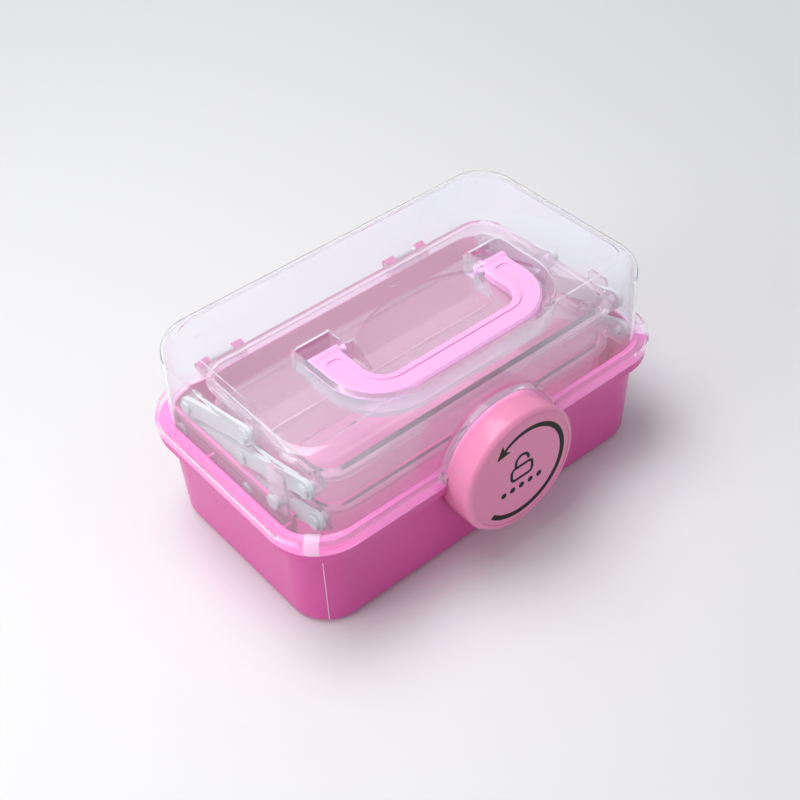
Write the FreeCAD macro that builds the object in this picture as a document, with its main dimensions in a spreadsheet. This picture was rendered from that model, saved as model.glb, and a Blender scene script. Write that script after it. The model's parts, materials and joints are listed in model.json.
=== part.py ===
import FreeCAD, Part
import math
import os
import re
import Sketcher
from FreeCAD import Vector

# Craft storage box with a hinged clear lid, a folding carry handle, a turning
# lock knob and two cantilever trays on link arms. Millimetres, Z up, X to the
# right, Y to the back, origin at the bottom centre of the base.

SIZES = [
    ("box_length", 300.0, "rim of the base, left to right"),
    ("box_depth", 181.0, "rim of the base, front to back"),
    ("rim_corner", 35.0, "plan radius of the rim"),
    ("rim_top", 76.0, "height of the top of the rim"),
    ("rim_drop", 7.0, "height of the turned-down rim"),
    ("rim_skin", 2.0, "thickness of the rim"),
    ("foot_inset", 9.9, "base wall inside the rim at the floor"),
    ("waist_inset", 6.6, "base wall inside the rim at the top"),
    ("base_wall", 2.2, "wall of the base"),
    ("base_floor", 2.5, "floor of the base"),
    ("wall_round", 2.0, "corner of the base wall wider than its offset from the rim"),
    ("foot_round", 3.6, "bevelled rounding under the base"),
    ("bevel_share", 0.32, "second bevels of a rounding as a share of the first"),
    ("lip_rise", 5.0, "raised lip inside the rim above the rim"),
    ("lip_inset", 5.6, "lip inside the rim"),
    ("lip_gap", 0.3, "lid collar in front of the lip"),
    ("rail_inset", 21.8, "inner face of the arm rail inside the rim"),
    ("rail_thick", 2.5, "thickness of the arm rail"),
    ("rail_rise", 3.2, "arm rail above the rim"),
    ("rail_fore", 13.0, "arm rail in front of the stop pin"),
    ("rail_past", 9.0, "arm rail behind the rear pin"),
    ("web_thick", 2.0, "webs between the rail and the side wall"),
    ("web_drop", 4.0, "top of those webs below the rim"),
    ("web_back", 30.0, "middle of the back web"),
    ("hinge_out", 6.5, "lid hinge axis behind the rim"),
    ("hinge_rise", 2.0, "lid hinge axis above the rim"),
    ("hinge_inset", 70.0, "middle of each hinge inside the end of the rim"),
    ("knuckle_r", 4.0, "radius of the hinge knuckles"),
    ("knuckle_half", 9.0, "half width of the lid knuckle"),
    ("knuckle_gap", 0.5, "gap between knuckles"),
    ("knuckle_side", 8.0, "width of each base knuckle"),
    ("hinge_pin_r", 2.0, "radius of the hinge pin"),
    ("run_gap", 0.05, "running clearance of a pin in its hole"),
    ("bite", 0.5, "depth that a small added shape shares with its body"),
    ("deep_bite", 1.0, "depth that a large added shape shares with its body"),
    ("cut_past", 1.0, "length by which a cut runs past a face"),
    ("knuckle_sink", 0.3, "arm of a base knuckle below the top of the rim"),
    ("brace_out", 0.6, "foot of that arm behind the hinge axis, as a share of the knuckle"),
    ("brace_down", 0.8, "foot of that arm below the hinge axis, as a share of the knuckle"),
    ("brace_up", 0.5, "arm of a lid knuckle above the hinge axis, as a share of the knuckle"),
    ("lid_gap", 0.2, "lid skirt above the rim"),
    ("flare_out", 1.0, "lid skirt beyond the rim"),
    ("flare_rise", 8.5, "top of the lid skirt above the rim"),
    ("flare_round", 2.2, "bevel of the top of the skirt"),
    ("lid_skin", 2.0, "wall of the lid"),
    ("lid_inset", 7.1, "ends of the lid wall inside the rim"),
    ("lid_front_inset", 7.0, "front of the lid wall inside the rim"),
    ("lid_back_inset", 8.5, "back of the lid wall inside the rim"),
    ("lid_corner_step", 4.5, "corner of the lid wall tighter than the rim"),
    ("lid_lean", 1.5, "lid wall leaning in towards the top"),
    ("lid_rise", 68.0, "lid ridge above the rim"),
    ("lid_round", 11.5, "rounding of the lid shoulder"),
    ("panel_rise", 1.4, "top panel above the ridge"),
    ("panel_inset", 12.6, "top panel inside the lid wall"),
    ("dimple_inset", 24.1, "dimples in the top panel inside the lid wall"),
    ("dimple_r", 4.5, "radius of those dimples"),
    ("dimple_deep", 0.4, "depth of those dimples"),
    ("gate_y", 10.9, "gate mark behind the middle of the top panel"),
    ("gate_r", 3.0, "radius of that mark"),
    ("gate_rise", 0.3, "height of that mark"),
    ("tab_turn", 45.0, "direction of the corner straps from the side"),
    ("tab_half", 4.5, "half width of a corner strap"),
    ("tab_long", 12.0, "length of a corner strap in from the skirt edge"),
    ("tab_rise", 0.8, "height of a corner strap over the skirt"),
    ("recess_half", 83.0, "half length of the handle recess"),
    ("recess_inset", 13.3, "handle recess behind the front of the lid"),
    ("recess_long", 73.4, "handle recess, front to back"),
    ("recess_deep", 13.5, "depth of the handle recess below the ridge"),
    ("recess_corner", 39.0, "front corners of the recess"),
    ("recess_small", 3.0, "back corners of the recess"),
    ("ear_thick", 5.9, "thickness of the handle ears"),
    ("finger_gap", 15.5, "room for fingers behind the grip"),
    ("crest_gap", 0.2, "ramp crest before the back of the recess"),
    ("ramp_r", 78.0, "plan radius of the ramp crest"),
    ("ramp_lap", 3.0, "added ramp before the foot of the finger ramp"),
    ("crest_lean", 1.0, "ramp crest leaning back above the ridge"),
    ("pin_end_gap", 0.5, "handle pin holes deeper than the pins"),
    ("ear_gap", 0.6, "handle ears inside the handle legs"),
    ("ear_fore", 6.5, "handle ears in front of the handle axis"),
    ("handle_clear", 9.7, "handle axis before the back of the recess"),
    ("axis_rise", 4.7, "handle axis above the recess floor"),
    ("leg_wide", 22.0, "width of the handle legs"),
    ("leg_gap", 4.0, "handle legs inside the recess"),
    ("grip_gap", 6.7, "grip behind the front of the recess"),
    ("grip_wide", 18.0, "width of the grip"),
    ("handle_under", 0.5, "handle above the recess floor"),
    ("handle_thick", 7.5, "thickness of the handle"),
    ("handle_bend", 37.0, "outer bend of the handle"),
    ("handle_inside", 13.0, "inner bend of the handle"),
    ("handle_end_r", 4.2, "round ends of the handle legs"),
    ("handle_edge", 1.5, "bevelled edges of the handle"),
    ("track_inset", 5.4, "track along the top of the handle inside its edges"),
    ("track_short", 7.5, "ends of that track before the handle axis"),
    ("track_end", 4.0, "rounding of those ends"),
    ("track_deep", 0.8, "depth of that track"),
    ("handle_pin_r", 2.2, "pivot pins of the handle"),
    ("handle_pin_long", 5.0, "length of the handle pins"),
    ("knob_drop", 6.8, "knob axis below the rim"),
    ("knob_r", 44.7, "radius of the knob"),
    ("knob_out", 17.5, "front face of the knob before the rim"),
    ("knob_sunk", 5.0, "back edge of the knob behind the front of the rim"),
    ("knob_skin", 2.2, "wall of the knob"),
    ("knob_round", 2.6, "bevelled rounding of the knob face"),
    ("knob_dish", 0.5, "depth of the dished face"),
    ("dish_edge", 4.7, "width of the ring around the dished face"),
    ("post_r", 8.0, "post inside the knob"),
    ("post_proud", 1.2, "post behind the back edge of the knob"),
    ("journal_r", 4.0, "journal that turns in the base wall"),
    ("journal_sunk", 10.3, "back of the journal behind the front of the rim"),
    ("screw_r", 1.8, "shank of the knob screw"),
    ("screw_depth", 14.0, "depth of the screw in the post"),
    ("knob_bore", 20.0, "length of the cut for the journal from the front of the rim"),
    ("screw_head_r", 7.0, "head of the knob screw"),
    ("screw_head", 2.6, "thickness of that head"),
    ("lug_reach", 5.8, "inner face of the lug inside the knob radius"),
    ("lug_half", 7.0, "half width of that lug"),
    ("lug_bite", 1.5, "outer face of the lug inside the knob radius"),
    ("lug_proud", 1.1, "lug behind the back edge of the knob"),
    ("lug_root", 3.0, "lug rooted in the knob wall"),
    ("catch_half", 5.0, "half width of the lid catch"),
    ("catch_gap", 0.6, "lid catch clear of the lug"),
    ("catch_tall", 4.0, "height of the lid catch"),
    ("catch_clear", 0.3, "lid catch clear of the back of the knob"),
    ("bay_gap", 1.7, "bay wider than the knob on each side"),
    ("bay_deep", 6.3, "depth of the bay for the knob in the rim"),
    ("collar_gap", 2.1, "lid collar around the knob"),
    ("collar_thick", 2.6, "thickness of the collar"),
    ("collar_sunk", 1.9, "front of the collar behind the front of the rim"),
    ("tray_arm_gap", 2.8, "tray rim inside the arms"),
    ("tray_front_gap", 10.9, "tray rim behind the front of the lid"),
    ("tray_back_gap", 23.1, "tray rim before the back of the lid"),
    ("tray_corner", 20.0, "plan radius of a tray rim"),
    ("tray_tall", 28.5, "height of a tray"),
    ("tray_rim", 4.2, "width of a tray rim"),
    ("tray_rim_drop", 4.0, "height of a tray rim"),
    ("tray_rim_skin", 1.4, "thickness of a tray rim"),
    ("tray_draft", 3.0, "tray wall leaning in towards the floor"),
    ("tray_wall", 1.8, "wall of a tray"),
    ("top_rim_rise", 7.0, "rim of the top tray above its pins"),
    ("middle_rim_drop", 2.0, "rim of the middle tray below its pins"),
    ("divider_back", 59.6, "divider behind the front of the top tray"),
    ("divider_thick", 1.6, "thickness of that divider"),
    ("divider_low", 3.0, "divider below the tray rim"),
    ("arm_gap", 0.7, "arms inside the rail"),
    ("arm_thick", 3.0, "thickness of the arms"),
    ("arm_width", 13.0, "width of the arms"),
    ("arm_run", 63.5, "half of the long arm, level part"),
    ("arm_rise", 20.0, "half of the long arm, upright part"),
    ("pin_behind", 7.1, "rear pin in the base behind the trays"),
    ("base_pin_step", 71.0, "front pin in the base before the rear one"),
    ("pin_drop", 9.0, "pins in the base below the rim"),
    ("tray_pin_step", 59.0, "front to back distance of the short arms above"),
    ("rivet_r", 2.5, "shank of the rivets"),
    ("rivet_head_r", 4.6, "head of the rivets"),
    ("rivet_head", 2.0, "thickness of the rivet heads"),
    ("rivet_depth", 3.8, "depth of a rivet in its tray"),
    ("rivet_end_gap", 0.3, "rivet holes in a tray deeper than the rivets"),
    ("stop_end_gap", 0.4, "stop pin short of the inner face of the rail"),
    ("side_gap", 0.3, "side clearance beside the arms"),
    ("boss_r", 6.2, "bosses and ears around the tray rivets"),
    ("boss_sink", 1.5, "bosses reaching into the wall of the top tray"),
    ("strip_drop", 1.5, "strip with the tray ears below the rim of the middle tray"),
    ("ear_deep", 4.0, "inner face of the tray ears inside the arms"),
    ("guide_ahead", 44.0, "guide plate in front of the front pin of the base"),
    ("guide_wide", 16.0, "width of the guide plate"),
    ("guide_drop", 6.5, "guide plate below the rim of the middle tray"),
    ("guide_tall", 33.5, "height of the guide plate"),
    ("guide_gap", 0.5, "guide plate outside the rail"),
    ("guide_thick", 2.0, "thickness of the guide plate"),
    ("guide_corner", 3.0, "corners of the guide plate"),
    ("bridge_inset", 3.0, "guide bridge inside the edges of the guide plate"),
    ("bridge_gap", 2.6, "guide bridge above the rim of the middle tray"),
    ("bridge_thick", 3.8, "thickness of the guide bridge"),
    ("stop_behind", 12.0, "stop pin behind the front of the guide plate"),
    ("stop_gap", 0.4, "stop pin above the rail"),
    ("stop_r", 3.4, "radius of the stop pin"),
    ("stop_head_r", 4.8, "head of the stop pin"),
]

# Sizes and places that follow from the ones above.
PLACES = {
    "lip_top": "rim_top + lip_rise",
    "rail_inner": "box_length / 2 - rail_inset",
    "rail_top": "rim_top + rail_rise",
    "rail_front": "stop_y - rail_fore",
    "rail_back": "base_pin_back + rail_past",
    "web_top": "rim_top - web_drop",
    "web_front": "rail_front + web_thick",
    "hinge_y": "box_depth / 2 + hinge_out",
    "hinge_z": "rim_top + hinge_rise",
    "hinge_x": "box_length / 2 - hinge_inset",
    "flare_top": "rim_top + flare_rise",
    "lid_half": "box_length / 2 - lid_inset",
    "lid_front": "lid_front_inset - box_depth / 2",
    "lid_back": "box_depth / 2 - lid_back_inset",
    "lid_corner": "rim_corner - lid_corner_step",
    "lid_top": "rim_top + lid_rise",
    "recess_front": "lid_front + recess_inset",
    "recess_back": "recess_front + recess_long",
    "recess_floor": "lid_top - recess_deep",
    "ramp_half": "ear_outer - ear_thick",
    "ramp_foot": "grip_back + finger_gap",
    "ramp_crest": "recess_back - crest_gap",
    "ear_outer": "handle_inner - ear_gap",
    "ear_front": "handle_y - ear_fore",
    "handle_y": "recess_back - handle_clear",
    "handle_z": "recess_floor + axis_rise",
    "handle_inner": "handle_outer - leg_wide",
    "handle_outer": "recess_half - leg_gap",
    "grip_front": "recess_front + grip_gap",
    "grip_back": "grip_front + grip_wide",
    "handle_bottom": "recess_floor + handle_under",
    "handle_top": "handle_bottom + handle_thick",
    "track_back": "handle_y - track_short",
    "handle_pin_end": "handle_inner - handle_pin_long",
    "knob_z": "rim_top - knob_drop",
    "knob_face": "box_depth / 2 + knob_out",
    "knob_back": "box_depth / 2 - knob_sunk",
    "knob_dish_r": "knob_r - dish_edge",
    "post_back": "knob_back - post_proud",
    "journal_back": "box_depth / 2 - journal_sunk",
    "lug_inner": "knob_r - lug_reach",
    "lug_back": "knob_back - lug_proud",
    "catch_top": "knob_z + lug_inner - catch_gap",
    "catch_front": "knob_back - catch_clear",
    "bay_half": "knob_r + bay_gap",
    "bay_back": "bay_deep - box_depth / 2",
    "collar_inner": "knob_r + collar_gap",
    "collar_front": "box_depth / 2 - collar_sunk",
    "tray_half": "arm_inner - tray_arm_gap",
    "tray_front": "lid_front + tray_front_gap",
    "tray_back": "lid_back - tray_back_gap",
    "top_tray_rim": "base_pin_z + 2 * arm_rise + top_rim_rise",
    "middle_tray_rim": "base_pin_z + arm_rise - middle_rim_drop",
    "divider_y": "tray_front + divider_back",
    "arm_inner": "rail_inner - arm_thick - arm_gap",
    "base_pin_back": "tray_back + pin_behind",
    "base_pin_front": "base_pin_back - base_pin_step",
    "base_pin_z": "rim_top - pin_drop",
    "ear_inner": "arm_inner - ear_deep",
    "guide_front": "base_pin_front - guide_ahead",
    "guide_back": "guide_front + guide_wide",
    "guide_low": "middle_tray_rim - guide_drop",
    "guide_top": "guide_low + guide_tall",
    "guide_inner": "rail_inner + rail_thick + guide_gap",
    "bridge_low": "middle_tray_rim + bridge_gap",
    "bridge_top": "bridge_low + bridge_thick",
    "stop_y": "guide_front + stop_behind",
    "stop_z": "rail_top + stop_r + stop_gap",
}

KNOWN = {name for name, number, note in SIZES}
LEVEL_TOLERANCE = 0.05

doc = FreeCAD.newDocument("craft_box")
book = doc.addObject("Spreadsheet::Sheet", "Sizes")
for row, (name, number, note) in enumerate(SIZES, 1):
    book.set("A%d" % row, name)
    book.set("B%d" % row, str(number))
    book.set("C%d" % row, note)
    book.setAlias("B%d" % row, name)
doc.recompute()


def formula(text):
    """Turn size names into references to the sheet, and places into their formulas."""
    def refer(match):
        word = match.group(0)
        if word in PLACES:
            return "(%s)" % formula(PLACES[word])
        return "Sizes." + word if word in KNOWN else word
    return re.sub(r"[a-z]\w*", refer, text)


def value(text):
    """Work a formula out as a plain number."""
    return float(book.evalExpression(formula(text)))


def new_body(name):
    body = doc.addObject("PartDesign::Body", name)
    body.Label = name
    return body


def new_sketch(body, plane, offset):
    """Sketch on an origin plane of the body, moved along its normal."""
    role = plane + "_Plane"
    support = [item for item in body.Origin.OriginFeatures if item.Role == role][0]
    sketch = body.newObject("Sketcher::SketchObject", "sketch")
    sketch.AttachmentSupport = [(support, "")]
    sketch.MapMode = "FlatFace"
    sketch.setExpression("AttachmentOffset.Base.z", formula(offset))
    return sketch


def add_size(sketch, kind, places, text):
    """Driving constraint whose number comes from the sheet."""
    index = sketch.addConstraint(Sketcher.Constraint(kind, *places, value(text)))
    name = "size_%d" % index
    sketch.renameConstraint(index, name)
    sketch.setExpression("Constraints." + name, formula(text))


def add_arc(sketch, centre, start, end):
    """Arc from start to end; tells which of its ends each one became."""
    first = start - centre
    second = end - centre
    left_turn = first.x * second.y - first.y * second.x > 0
    if not left_turn:
        first, second = second, first
    circle = Part.Circle(centre, Vector(0, 0, 1), first.Length)
    level = Vector(1, 0, 0)
    normal = Vector(0, 0, 1)
    angles = []
    for arm in (first, second):
        angle = level.getAngle(arm)
        if level.cross(arm).dot(normal) < 0:
            angle = -angle
        angles.append(angle)
    index = sketch.addGeometry(Part.ArcOfCircle(circle, angles[0], angles[1]), False)
    return (index, 1, 2) if left_turn else (index, 2, 1)


def draw_outline(sketch, corners):
    """Closed outline of level and upright lines with rounded corners.

    A corner is x, y and radius as formulas; no radius leaves it sharp.
    """
    count = len(corners)
    points = [Vector(value(x), value(y), 0) for x, y, radius in corners]
    reach = [value(radius) if radius else 0.0 for x, y, radius in corners]
    arrive = []
    leave = []
    for index, point in enumerate(points):
        back = (points[index - 1] - point).normalize()
        ahead = (points[(index + 1) % count] - point).normalize()
        arrive.append(point + back * reach[index])
        leave.append(point + ahead * reach[index])
    lines = []
    for index in range(count):
        start = leave[index]
        end = arrive[(index + 1) % count]
        line = sketch.addGeometry(Part.LineSegment(start, end), False)
        lines.append(line)
        level = abs(end.y - start.y) < abs(end.x - start.x)
        kind = "Horizontal" if level else "Vertical"
        sketch.addConstraint(Sketcher.Constraint(kind, line))
        measure = "DistanceY" if level else "DistanceX"
        text = corners[index][1] if level else corners[index][0]
        add_size(sketch, measure, (-1, 1, line, 1), text)
    for index in range(count):
        before = lines[index - 1]
        after = lines[index]
        if not corners[index][2]:
            sketch.addConstraint(Sketcher.Constraint("Coincident", before, 2, after, 1))
            continue
        centre = arrive[index] + leave[index] - points[index]
        arc, first, last = add_arc(sketch, centre, arrive[index], leave[index])
        sketch.addConstraint(Sketcher.Constraint("Tangent", before, 2, arc, first))
        sketch.addConstraint(Sketcher.Constraint("Tangent", after, 1, arc, last))
        add_size(sketch, "Radius", (arc,), corners[index][2])


def box_corners(left, right, low, high, radius=None):
    return [(left, low, radius), (right, low, radius), (right, high, radius), (left, high, radius)]


def mirror_corners(half, low, high, radius):
    return box_corners("-(%s)" % half, half, low, high, radius)


def draw_polygon(sketch, points):
    """Closed outline with every corner placed by two formulas."""
    spots = [Vector(value(x), value(y), 0) for x, y in points]
    lines = []
    for index, spot in enumerate(spots):
        ahead = spots[(index + 1) % len(spots)]
        lines.append(sketch.addGeometry(Part.LineSegment(spot, ahead), False))
    for index, (x, y) in enumerate(points):
        sketch.addConstraint(Sketcher.Constraint("Coincident", lines[index - 1], 2, lines[index], 1))
        add_size(sketch, "DistanceX", (-1, 1, lines[index], 1), x)
        add_size(sketch, "DistanceY", (-1, 1, lines[index], 1), y)


def draw_circle(sketch, x, y, radius):
    spot = Vector(value(x), value(y), 0)
    circle = Part.Circle(spot, Vector(0, 0, 1), value(radius))
    index = sketch.addGeometry(circle, False)
    for measure, text in (("DistanceX", x), ("DistanceY", y)):
        if abs(value(text)) > 1e-6:
            add_size(sketch, measure, (-1, 1, index, 3), text)
            continue
        axis = -2 if measure == "DistanceX" else -1
        sketch.addConstraint(Sketcher.Constraint("PointOnObject", index, 3, axis))
    add_size(sketch, "Radius", (index,), radius)


def extrude(body, sketch, kind, length, backwards=False):
    feature = body.newObject("PartDesign::" + kind, kind)
    feature.Profile = sketch
    feature.setExpression("Length", formula(length))
    feature.Reversed = backwards
    sketch.Visibility = False
    doc.recompute()
    return feature


def pad(body, sketch, length, backwards=False):
    return extrude(body, sketch, "Pad", length, backwards)


def pocket(body, sketch, length, backwards=False):
    return extrude(body, sketch, "Pocket", length, backwards)


def loft(body, first, second, kind):
    feature = body.newObject("PartDesign::%sLoft" % kind, kind)
    feature.Profile = first
    feature.Sections = [second]
    feature.Ruled = True
    doc.recompute()
    return feature


def dress(body, kind, chosen, size_name, size):
    """Fillet or chamfer the edges of the tip for which chosen(edge) is true."""
    tip = body.Tip
    names = []
    for index, edge in enumerate(tip.Shape.Edges, 1):
        if chosen(edge):
            names.append("Edge%d" % index)
    feature = body.newObject("PartDesign::" + kind, kind)
    feature.Base = (tip, names)
    feature.setExpression(size_name, formula(size))
    doc.recompute()
    return feature


def fillet(body, chosen, radius):
    return dress(body, "Fillet", chosen, "Radius", radius)


def chamfer(body, chosen, size):
    return dress(body, "Chamfer", chosen, "Size", size)


def level_at(text, axis="Z"):
    """Choose the edges that lie level at one place along an axis."""
    place = value(text)

    def chosen(edge):
        box = edge.BoundBox
        low = getattr(box, axis + "Min")
        high = getattr(box, axis + "Max")
        return abs(low - place) < LEVEL_TOLERANCE and abs(high - place) < LEVEL_TOLERANCE
    return chosen


def soften(body, place, end, size, axis="Z"):
    """Round the edges at a place by three bevels, the first one reaching to end."""
    chamfer(body, level_at(place, axis), size)
    corner = level_at(place, axis)
    side = level_at(end, axis)

    def chosen(edge):
        return corner(edge) or side(edge)
    chamfer(body, chosen, "%s * bevel_share" % size)


def leaning(feature, rise, lean):
    """Lean the walls of a pad or pocket by an offset over its length."""
    feature.setExpression("TaperAngle", formula("atan((%s) / (%s))" % (lean, rise)))
    doc.recompute()


def section(body, spec, inset, height):
    """Rounded rectangle given by half length, front, back and corner, made smaller."""
    half, front, back, corner = spec
    sketch = new_sketch(body, "XY", height)
    draw_outline(sketch, mirror_corners("%s - (%s)" % (half, inset), "%s + (%s)" % (front, inset),
                                        "%s - (%s)" % (back, inset), "%s - (%s)" % (corner, inset)))
    return sketch


def tub(body, wall, low, high, lean, rim, underside):
    """Box with walls leaning out towards the top and a turned-down rim.

    wall and rim are plan outlines, wall being taken at the top.
    """
    drop, skin = underside
    rise = "%s - (%s)" % (high, low)
    outer = pad(body, section(body, wall, lean, low), rise)
    leaning(outer, rise, lean)
    pad(body, section(body, rim, "0", "%s - %s" % (high, drop)), drop)
    sketch = section(body, rim, skin, "%s - %s" % (high, drop))
    half, front, back, corner = wall
    draw_outline(sketch, mirror_corners(half, front, back, corner))
    pocket(body, sketch, "%s - %s" % (drop, skin), True)


def hollow(body, wall, low, high, lean, skin):
    """Cut the inside of a tub from its top down to the floor."""
    rise = "%s - (%s)" % (high, low)
    inside = pocket(body, section(body, wall, skin, high), rise)
    leaning(inside, rise, "-(%s)" % lean)


def slab(body, plane, corners, start, length, backwards=False):
    """Pad one outline from a plane at start by length."""
    sketch = new_sketch(body, plane, start)
    draw_outline(sketch, corners)
    return pad(body, sketch, length, backwards)


def disc(body, plane, x, y, radius, start, length, backwards=False):
    sketch = new_sketch(body, plane, start)
    draw_circle(sketch, x, y, radius)
    return pad(body, sketch, length, backwards)


def bore(body, plane, x, y, radius, start, length, backwards=False):
    """Round hole cut from a plane against its normal."""
    sketch = new_sketch(body, plane, start)
    draw_circle(sketch, x, y, radius)
    return pocket(body, sketch, length, backwards)


BASE_WALL = ("box_length / 2 - waist_inset", "waist_inset - box_depth / 2",
             "box_depth / 2 - waist_inset", "rim_corner - waist_inset + wall_round")
BASE_RIM = ("box_length / 2", "-box_depth / 2", "box_depth / 2", "rim_corner")
BASE_LEAN = "foot_inset - waist_inset"


def build_base():
    body = new_body("base_box")
    tub(body, BASE_WALL, "0", "rim_top", BASE_LEAN, BASE_RIM, ("rim_drop", "rim_skin"))
    lip = section(body, BASE_RIM, "lip_inset", "rim_top - rim_skin")
    pad(body, lip, "lip_top - rim_top + rim_skin")
    hollow(body, BASE_WALL, "base_floor", "lip_top", BASE_LEAN, "base_wall")
    soften(body, "0", "foot_round", "foot_round")
    cut_knob_bay(body)
    add_rails(body)
    for side in ("1", "-1"):
        add_base_knuckles(body, side)
    return body


def cut_knob_bay(body):
    """Room for the knob in the rim and the hole its journal turns in."""
    sketch = new_sketch(body, "XY", "lip_top")
    draw_outline(sketch, mirror_corners("bay_half", "-box_depth / 2 - cut_past", "bay_back", None))
    pocket(body, sketch, "lip_top - rim_top + rim_drop")
    bore(body, "XZ", "0", "knob_z", "journal_r + run_gap", "box_depth / 2", "knob_bore")


def add_rails(body):
    """Upright rails beside the arms, tied to the side walls by webs."""
    sketch = new_sketch(body, "XY", "base_floor - bite")
    outer = "rail_inner + rail_thick"
    draw_outline(sketch, box_corners("rail_inner", outer, "rail_front", "rail_back"))
    draw_outline(sketch, box_corners("-(%s)" % outer, "-rail_inner", "rail_front", "rail_back"))
    pad(body, sketch, "rail_top - base_floor + bite")
    slope = "(foot_inset - waist_inset) / rim_top"
    low_x = "box_length / 2 - foot_inset - base_wall / 2"
    high_x = "%s + web_top * %s" % (low_x, slope)
    for middle in ("web_front", "web_back"):
        sketch = new_sketch(body, "XZ", "web_thick / 2 - %s" % middle)
        for sign in ("", "-"):
            near = "%s(rail_inner + deep_bite)" % sign
            draw_polygon(sketch, [(near, "base_floor - bite"),
                                  ("%s(%s)" % (sign, low_x), "base_floor - bite"),
                                  ("%s(%s)" % (sign, high_x), "web_top"),
                                  (near, "web_top")])
        pad(body, sketch, "web_thick", True)
    for pin in ("base_pin_back", "base_pin_front"):
        for start in ("rail_inner + rail_thick + cut_past", "-rail_inner + cut_past"):
            bore(body, "YZ", pin, "base_pin_z", "rivet_r + run_gap", start, "rail_thick + 2 * cut_past")


def add_base_knuckles(body, side):
    """Two knuckles at one hinge, on arms that leave the rim."""
    near = "knuckle_half + knuckle_gap"
    for start in (near, "-(%s) - knuckle_side" % near):
        place = "hinge_x * %s + %s" % (side, start)
        sketch = new_sketch(body, "YZ", place)
        near = "box_depth / 2 - deep_bite"
        draw_polygon(sketch, [(near, "rim_top - knuckle_sink"), (near, "rim_top - rim_drop"),
                              ("hinge_y + knuckle_r * brace_out", "hinge_z - knuckle_r * brace_down"),
                              ("hinge_y", "rim_top - knuckle_sink")])
        pad(body, sketch, "knuckle_side")
        disc(body, "YZ", "hinge_y", "hinge_z", "knuckle_r", place, "knuckle_side")
        bore(body, "YZ", "hinge_y", "hinge_z", "hinge_pin_r + run_gap",
             "%s + knuckle_side + cut_past" % place, "knuckle_side + 2 * cut_past")


LID_WALL = ("lid_half", "lid_front", "lid_back", "lid_corner")
LID_FOOT = "flare_top - lid_skin"


def build_lid():
    body = new_body("lid")
    add_skirt(body)
    rise = "lid_top - (%s)" % LID_FOOT
    outer = pad(body, section(body, LID_WALL, "0", LID_FOOT), rise)
    leaning(outer, rise, "-lid_lean")
    inside = pocket(body, section(body, LID_WALL, "lid_skin", LID_FOOT), "%s - lid_skin" % rise, True)
    leaning(inside, rise, "-lid_lean")
    fillet(body, level_at("lid_top - lid_skin"), "lid_round - lid_skin")
    fillet(body, level_at("lid_top"), "lid_round")
    panel = section(body, LID_WALL, "lid_lean + panel_inset", "lid_top - deep_bite")
    pad(body, panel, "panel_rise + deep_bite")
    add_recess(body)
    add_collar(body)
    add_tabs(body)
    add_moulding_marks(body)
    slab(body, "XZ", mirror_corners("catch_half", "catch_top - catch_tall", "catch_top", None),
         "-lid_front - lid_lean - bite", "catch_front + lid_front + lid_lean + bite")
    for side in ("1", "-1"):
        add_lid_knuckle(body, side)
    return body


def add_skirt(body):
    """Skirt of the lid that covers the lip and stands over the rim."""
    low = "rim_top + lid_gap"
    edge = "box_depth / 2 + flare_out"
    outline = ("box_length / 2 + flare_out", "-(%s)" % edge, edge, "rim_corner + flare_out")
    pad(body, section(body, outline, "0", low), "flare_top - rim_top - lid_gap")
    chamfer(body, level_at("flare_top"), "flare_round")
    inside = section(body, outline, "lid_skin", low)
    pocket(body, inside, "flare_top - lid_skin - (%s)" % low, True)


def recess_outline(grow):
    """Plan of the handle recess, grown outwards by a skin."""
    half = "(recess_half + %s)" % grow
    back = "recess_back + %s" % grow
    inner = "(ear_outer - %s)" % grow
    step = "(ramp_half - %s)" % grow
    ear = "ear_front + %s" % grow
    foot = "ramp_foot + %s" % grow
    front = "recess_front - %s" % grow
    corner = "recess_corner + %s" % grow
    small = "recess_small"
    return [("-" + half, back, small), ("-" + half, front, corner), (half, front, corner),
            (half, back, small), (inner, back, None), (inner, ear, None), (step, ear, None),
            (step, foot, None), ("-" + step, foot, None), ("-" + step, ear, None),
            ("-" + inner, ear, None), ("-" + inner, back, None)]


def ramp_section(body, height, half, front, crest):
    """Four-sided section of the ramp; a crest makes its back side an arc."""
    sketch = new_sketch(body, "XY", height)
    wide = value(half)
    low = value(front)
    rise = value(crest)
    drop = value("ramp_r") - (value("ramp_r") ** 2 - wide ** 2) ** 0.5
    corners = [Vector(-wide, rise - drop, 0), Vector(-wide, low, 0),
               Vector(wide, low, 0), Vector(wide, rise - drop, 0)]
    lines = []
    for start, end in zip(corners, corners[1:]):
        lines.append(sketch.addGeometry(Part.LineSegment(start, end), False))
    centre = Vector(0, rise - value("ramp_r"), 0)
    arc, first, last = add_arc(sketch, centre, corners[3], corners[0])
    for before, after in zip(lines, lines[1:]):
        sketch.addConstraint(Sketcher.Constraint("Coincident", before, 2, after, 1))
    sketch.addConstraint(Sketcher.Constraint("Coincident", lines[2], 2, arc, first))
    sketch.addConstraint(Sketcher.Constraint("Coincident", arc, last, lines[0], 1))
    sketch.addConstraint(Sketcher.Constraint("Vertical", lines[0]))
    sketch.addConstraint(Sketcher.Constraint("Vertical", lines[2]))
    sketch.addConstraint(Sketcher.Constraint("Horizontal", lines[1]))
    sketch.addConstraint(Sketcher.Constraint("PointOnObject", arc, 3, -2))
    add_size(sketch, "DistanceX", (-1, 1, lines[2], 1), half)
    add_size(sketch, "DistanceX", (lines[0], 1, -1, 1), half)
    add_size(sketch, "DistanceY", (-1, 1, lines[1], 1), front)
    add_size(sketch, "Radius", (arc,), "ramp_r")
    add_size(sketch, "DistanceY", (-1, 1, arc, 3), "%s - ramp_r" % crest)
    return sketch


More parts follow.
